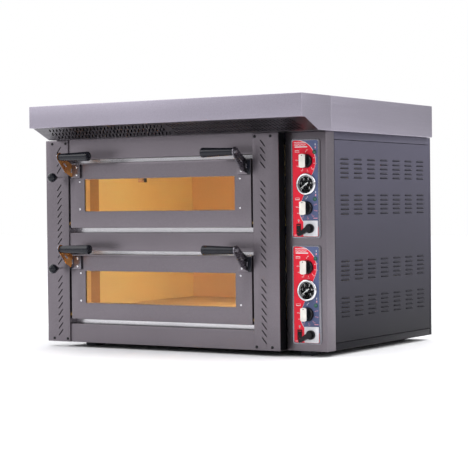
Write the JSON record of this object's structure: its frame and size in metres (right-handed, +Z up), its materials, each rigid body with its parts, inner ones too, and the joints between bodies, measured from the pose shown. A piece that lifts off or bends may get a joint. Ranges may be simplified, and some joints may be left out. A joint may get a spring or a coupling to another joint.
{
  "type": "pizza oven",
  "caption": "Countertop two-deck electric pizza oven with drop-down glazed doors, steam dampers, a control column at the right and an overhanging vented hood.",
  "frame": {"origin": "centre of the bounding box at the height of the feet undersides", "axes": "+X to the right seen from the front, +Y from the front to the back, +Z up"},
  "size_m": [1.004, 0.863, 0.7436],
  "materials": {
    "front_steel": "satin brushed stainless sheet",
    "hood_steel": "satin brushed stainless sheet",
    "casing_paint": "satin dark grey coating",
    "vent_steel": "satin dark sheet",
    "bright_steel": "bright stainless steel",
    "polished_steel": "polished",
    "chamber_steel": "heat-tinted aluminised sheet",
    "frame_steel": "galvanised tube",
    "brass": "turned",
    "black_plastic": "moulded heat-proof plastic",
    "gloss_black": "moulded gloss plastic",
    "white_plastic": "moulded",
    "needle_white": "white enamel",
    "foot_rubber": "moulded",
    "fire_stone": "fired refractory slab",
    "element_sheath": "oxidised sheath",
    "mineral_wool": "fibre slab",
    "door_glass": "clear toughened glass",
    "lens_glass": "clear glass",
    "lamp_glass": "frosted glass",
    "pilot_green": "tinted lens",
    "white_ceramic": "glazed"
  },
  "bodies": {
    "cabinet": {"base_tray": "casing_paint", "feet": "foot_rubber", "chassis_frame": "casing_paint", "rear_cover": "casing_paint", "left_side_cover": "casing_paint", "right_side_cover": "casing_paint", "left_pillar_cover": "front_steel", "right_pillar_cover": "front_steel", "facade_panel": "front_steel", "control_column": "front_steel", "hood_canopy": "hood_steel", "hood_vent_panel": "vent_steel", "hood_top_cover": "hood_steel", "lower_chamber_liner": "chamber_steel", "upper_chamber_liner": "chamber_steel", "baking_stones": "fire_stone", "heating_elements": "element_sheath", "insulation": "mineral_wool", "chamber_lamps": "lamp_glass", "steam_duct": "frame_steel", "door_frames": "bright_steel", "hinge_bushes": "brass", "control_plates": "bright_steel", "pilot_lamps": "pilot_green", "gauge_cases": "polished_steel", "gauge_lenses": "lens_glass", "rocker_housings": "gloss_black", "switch_plates": "white_plastic", "thermostat_bodies": "white_ceramic", "terminal_block": "white_ceramic", "cable_gland": "black_plastic", "front_screws": "gloss_black"},
    "lower_door": {"lower_door_skin": "front_steel", "lower_door_liner": "bright_steel", "lower_door_glass": "door_glass", "lower_door_screws": "polished_steel", "lower_handle_arms": "polished_steel", "lower_handle_grips": "black_plastic", "lower_hinge_pins": "bright_steel"},
    "upper_door": {"upper_door_skin": "front_steel", "upper_door_liner": "bright_steel", "upper_door_glass": "door_glass", "upper_door_screws": "polished_steel", "upper_handle_arms": "polished_steel", "upper_handle_grips": "black_plastic", "upper_hinge_pins": "bright_steel"},
    "lower_damper": {"lower_damper_rod": "polished_steel", "lower_damper_knob": "gloss_black"},
    "upper_damper": {"upper_damper_rod": "polished_steel", "upper_damper_knob": "gloss_black"},
    "lower_roof_heat_knob": {"lower_roof_heat_knob": "gloss_black"},
    "lower_floor_heat_knob": {"lower_floor_heat_knob": "gloss_black"},
    "upper_roof_heat_knob": {"upper_roof_heat_knob": "gloss_black"},
    "upper_floor_heat_knob": {"upper_floor_heat_knob": "gloss_black"},
    "lower_gauge_pointer": {"lower_gauge_pointer": "needle_white"},
    "upper_gauge_pointer": {"upper_gauge_pointer": "needle_white"},
    "lower_switch_lever": {"lower_switch_lever": "gloss_black"},
    "upper_switch_lever": {"upper_switch_lever": "gloss_black"},
    "lower_rocker": {"lower_rocker": "gloss_black"},
    "upper_rocker": {"upper_rocker": "gloss_black"}
  },
  "joints": [
    {"name": "lower_door_hinge", "type": "hinge", "parent": "cabinet", "child": "lower_door", "pos_m": [-0.077, -0.2885, 0.102], "axis": [1, 0, 0], "range_deg": [0, 90]},
    {"name": "upper_door_hinge", "type": "hinge", "parent": "cabinet", "child": "upper_door", "pos_m": [-0.077, -0.2885, 0.385], "axis": [1, 0, 0], "range_deg": [0, 90]},
    {"name": "lower_damper_pull", "type": "slide", "parent": "cabinet", "child": "lower_damper", "axis": [0, -1, 0], "range_m": [-0.02, 0.03]},
    {"name": "upper_damper_pull", "type": "slide", "parent": "cabinet", "child": "upper_damper", "axis": [0, -1, 0], "range_m": [-0.02, 0.03]},
    {"name": "lower_roof_heat_turn", "type": "hinge", "parent": "cabinet", "child": "lower_roof_heat_knob", "pos_m": [0.4208, -0.2805, 0.2566], "axis": [0, 1, 0], "range_deg": [0, 270]},
    {"name": "lower_floor_heat_turn", "type": "hinge", "parent": "cabinet", "child": "lower_floor_heat_knob", "pos_m": [0.4208, -0.2805, 0.1224], "axis": [0, 1, 0], "range_deg": [0, 270]},
    {"name": "lower_gauge_needle", "type": "hinge", "parent": "cabinet", "child": "lower_gauge_pointer", "pos_m": [0.4215, -0.2715, 0.1905], "axis": [0, 1, 0], "range_deg": [0, 240], "stiffness_Nm_per_rad": 0.001},
    {"name": "lower_switch_turn", "type": "hinge", "parent": "cabinet", "child": "lower_switch_lever", "pos_m": [0.435, -0.2805, 0.064], "axis": [0, 1, 0], "range_deg": [0, 90]},
    {"name": "lower_rocker_tilt", "type": "hinge", "parent": "cabinet", "child": "lower_rocker", "pos_m": [0.394, -0.2635, 0.063], "axis": [1, 0, 0], "range_deg": [-16, 0]},
    {"name": "upper_roof_heat_turn", "type": "hinge", "parent": "cabinet", "child": "upper_roof_heat_knob", "pos_m": [0.4208, -0.2805, 0.5601], "axis": [0, 1, 0], "range_deg": [0, 270]},
    {"name": "upper_floor_heat_turn", "type": "hinge", "parent": "cabinet", "child": "upper_floor_heat_knob", "pos_m": [0.4208, -0.2805, 0.4259], "axis": [0, 1, 0], "range_deg": [0, 270]},
    {"name": "upper_gauge_needle", "type": "hinge", "parent": "cabinet", "child": "upper_gauge_pointer", "pos_m": [0.4215, -0.2715, 0.494], "axis": [0, 1, 0], "range_deg": [0, 240], "stiffness_Nm_per_rad": 0.001},
    {"name": "upper_switch_turn", "type": "hinge", "parent": "cabinet", "child": "upper_switch_lever", "pos_m": [0.435, -0.2805, 0.3675], "axis": [0, 1, 0], "range_deg": [0, 90]},
    {"name": "upper_rocker_tilt", "type": "hinge", "parent": "cabinet", "child": "upper_rocker", "pos_m": [0.394, -0.2635, 0.3665], "axis": [1, 0, 0], "range_deg": [-16, 0]}
  ]
}
